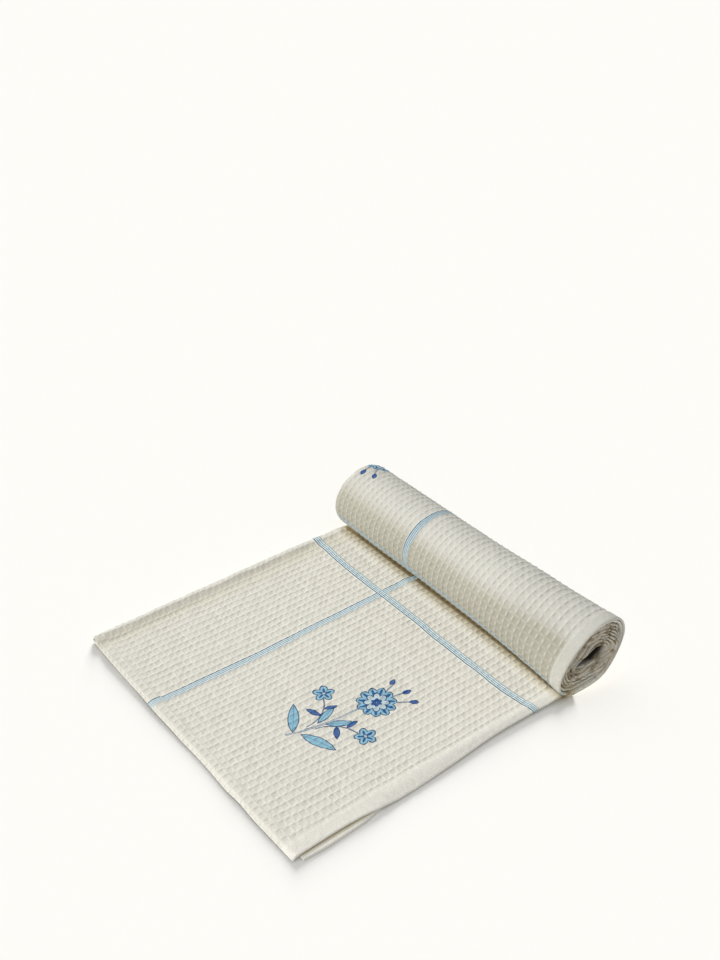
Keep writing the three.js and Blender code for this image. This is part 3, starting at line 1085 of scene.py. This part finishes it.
# %% Make the two materials
OUTER_TURNS = 1.02
OUTER_END = FLAT_CLOTH + np.interp(OUTER_TURNS, TURN_SAMPLES, spiral_length.mean(axis=0))
weave = weave_finish("waffle_weave", False)
printed_weave = weave_finish("waffle_weave_with_sprig", True)
print("nodes in the printed finish:", len(printed_weave.node_tree.nodes))


# %% [markdown]
# ## The three stretches of cloth
#
# The flat stretch shows the most, then the roll's outermost turn, so these have fine cells on
# the side that shows. The inner turns show only at the roll's two ends, so their columns are
# close together there and far apart between.


# %% Where the sprig is printed
SPRIG_REACH_ACROSS, SPRIG_REACH_ALONG = 72, 92


def near_sprig(u, v):
    """True close to a sprig. Only the faces there need the larger material."""
    first = (np.abs(u - SPRIG_ACROSS) < SPRIG_REACH_ACROSS) & (np.abs(v - SPRIG_ALONG) < SPRIG_REACH_ALONG)
    second = (np.abs(u) < SPRIG_REACH_ACROSS) & (np.abs(v - SECOND_SPRIG_ALONG) < SPRIG_REACH_ALONG)
    return first | second


# %% The flat stretch
FACE_PANEL = (0.01, 0.42, 0.99, 0.99)
HIDDEN_PANEL = (0.01, 0.22, 0.99, 0.4)
BACK_PANEL = (0.01, 0.01, 0.99, 0.2)
UNDER_FOLD = 7
SEAM_STEP = 1.5
front_rows = rounded_lines(0, 1)[:-1]


def flat_rows(marks):
    """Rows of the flat stretch, close together at the front hem's edge."""
    return np.concatenate([front_rows, rows_of(EDGE_ROUND, FLAT_CLOTH, marks)])


back_columns = np.concatenate([mirrored(half_columns(0, (0,))), half_columns(0, (0,))[1:]])
flat_shell = Shell()
hidden = mirrored(half_columns(UNDER_FOLD + SEAM_STEP, HALVES))
under = flat_shell.patch(hidden, flat_rows(HALVES), outer_depth, HIDDEN_PANEL)
top = flat_shell.patch(half_columns(-UNDER_FOLD, FINE), flat_rows(FINE_ALONG), outer_depth, FACE_PANEL)
back = flat_shell.patch(back_columns, flat_rows((0,)), back_depth, BACK_PANEL)
flat_shell.close(under, top, back, False, True)
flat_stretch = flat_shell.piece("towel_flat_stretch", [weave, printed_weave], near_sprig)

# %% The outermost turn
FOLD_SIDE = 9
outer_shell = Shell()
shown = mirrored(half_columns(-FOLD_SIDE, FINE))
outside = outer_shell.patch(shown, rows_of(FLAT_CLOTH, OUTER_END, FINE_ALONG), outer_depth, FACE_PANEL)
hidden, hidden_rows = half_columns(FOLD_SIDE + SEAM_STEP, HALVES), rows_of(FLAT_CLOTH, OUTER_END, HALVES)
inside = outer_shell.patch(hidden, hidden_rows, outer_depth, HIDDEN_PANEL)
back = outer_shell.patch(back_columns, hidden_rows, back_depth, BACK_PANEL)
outer_shell.close(outside, inside, back, True, True)
outer_turn = outer_shell.piece("towel_outer_turn", [weave, printed_weave], near_sprig)


# %% The inner turns
LOWER_PANEL = (0.01, 0.6, 0.99, 0.99)
UPPER_PANEL = (0.01, 0.21, 0.99, 0.59)
NEAR_FOLD, AT_FOLD = 0.7, 1


def sparse_columns(first):
    """Columns close together at the fold and at the crumpled hem, and far apart between."""
    fold_end = cell_lines(first, 31, CELL_ACROSS, COARSE)
    middle = np.arange(40, HALF_WIDTH - 62, 18)
    hem_end = np.arange(HALF_WIDTH - 56, HALF_WIDTH - EDGE_ROUND - 0.5, 3)
    return np.concatenate([fold_end, middle, hem_end, rounded_lines(HALF_WIDTH, -1)[::-1]])


def inner_rows(marks):
    """Rows of the inner turns, close together at the towel's far end."""
    return np.concatenate([rows_of(OUTER_END, last_rows[0] - 1, marks), last_rows])


last_rows = CLOTH_LENGTH - rounded_lines(0, 1)[::-1]
inner_shell = Shell()
near_fold, at_fold = sparse_columns(NEAR_FOLD), sparse_columns(AT_FOLD)
lower = inner_shell.patch(mirrored(near_fold), inner_rows(COARSE), outer_depth, LOWER_PANEL)
upper = inner_shell.patch(near_fold, inner_rows(COARSE), outer_depth, UPPER_PANEL)
inner_back = np.concatenate([mirrored(at_fold), at_fold])
back = inner_shell.patch(inner_back, inner_rows(HALVES), back_depth, BACK_PANEL)
inner_shell.close(lower, upper, back, True, False)
inner_turns = inner_shell.piece("towel_inner_turns", [weave])

# %% [markdown]
# ## Stage, light and camera
#
# The towel lies on a plain pale floor. A low light from the fold's side draws the cells, and a
# broad one from the front lights the foot of the roll. The floor has lights of its own, so its
# shadow stays as faint as in the photograph. The camera stands where the photograph's did.

# %% Floor and light
FLOOR = 6
SKY = 0.47
CORNERS = ((-1, -1), (1, -1), (1, 1), (-1, 1))
WARM_WHITE = (1, 0.995, 0.98)
floor_mesh = bpy.data.meshes.new("floor")
floor_mesh.from_pydata([(x * FLOOR, y * FLOOR, 0) for x, y in CORNERS], [], [(0, 1, 2, 3)])
floor = add("floor", floor_mesh)
floor_finish = Finish("floor_finish")
paint = {"Base Color": linear(253, 252, 249), "Roughness": 1, "Specular IOR Level": 0}
floor_finish.set_shader(paint)
floor_mesh.materials.append(floor_finish.material)

world = bpy.data.worlds.new("studio")
scene.world = world
world.use_nodes = True
background = world.node_tree.nodes["Background"]
background.inputs["Color"].default_value = (*WARM_WHITE, 1)
background.inputs["Strength"].default_value = SKY


def group_of(name, objects):
    """A collection, as light linking asks for one."""
    group = bpy.data.collections.new(name)
    for obj in objects:
        group.objects.link(obj)
    return group


def soft_light(name, heading, height, share, spread, lit, shading=None):
    """A distant soft light. share is its part of the light on a level face.

    It lights only the objects named, and only those in shading cast its shadow.
    """
    data = bpy.data.lights.new(name, "SUN")
    level = math.sin(math.radians(height))
    data.energy = share * math.pi / level
    data.angle = math.radians(spread)
    data.color = WARM_WHITE
    light = add(name, data)
    flat, turn = math.cos(math.radians(height)), math.radians(heading)
    direction = Vector((math.cos(turn) * flat, math.sin(turn) * flat, level))
    light.rotation_mode = "QUATERNION"
    light.rotation_quaternion = direction.to_track_quat("Z", "Y")
    light.light_linking.receiver_collection = group_of(name + "_lights", lit)
    if shading:
        light.light_linking.blocker_collection = group_of(name + "_shading", shading)


towel = [flat_stretch, outer_turn, inner_turns]
soft_light("window_light", 203, 31, 0.30, 12, towel)
soft_light("front_light", -100, 36, 0.2, 40, towel)
soft_light("overhead_light", 142, 62, 0.12, 60, [floor], [flat_stretch])
soft_light("low_floor_light", 142, 14, 0.42, 22, [floor], [flat_stretch])

scene.view_settings.view_transform = "Standard"
scene.view_settings.look = "None"

# %% Camera
CAMERA_PLACE = (1.0155, -0.7816, 1.1318)
CAMERA_PITCH = 33.9626
CAMERA_HEADING = (-0.78792067, 0.61577676)
PHOTO_HEIGHT = 960
FOCAL_PIXELS = 1340
SENSOR = 36
camera_data = bpy.data.cameras.new("camera")
camera_data.sensor_width = SENSOR
camera_data.lens = FOCAL_PIXELS / PHOTO_HEIGHT * SENSOR
camera = add("camera", camera_data)
pitch = math.radians(CAMERA_PITCH)
level_x, level_y = [number * math.cos(pitch) for number in CAMERA_HEADING]
looks = Vector((level_x, level_y, -math.sin(pitch)))
camera.location = CAMERA_PLACE
camera.rotation_mode = "QUATERNION"
camera.rotation_quaternion = looks.to_track_quat("-Z", "Y")
scene.camera = camera

# %% [markdown]
# ## The pieces on the model's body
#
# Each stretch of cloth rides on the model's one body, and the imported towel solid is hidden.

ends = (0, FLAT_CLOTH, OUTER_END, CLOTH_LENGTH)
for piece, start, end in zip(towel, ends, ends[1:]):
    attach(piece, "root")
    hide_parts("towel")
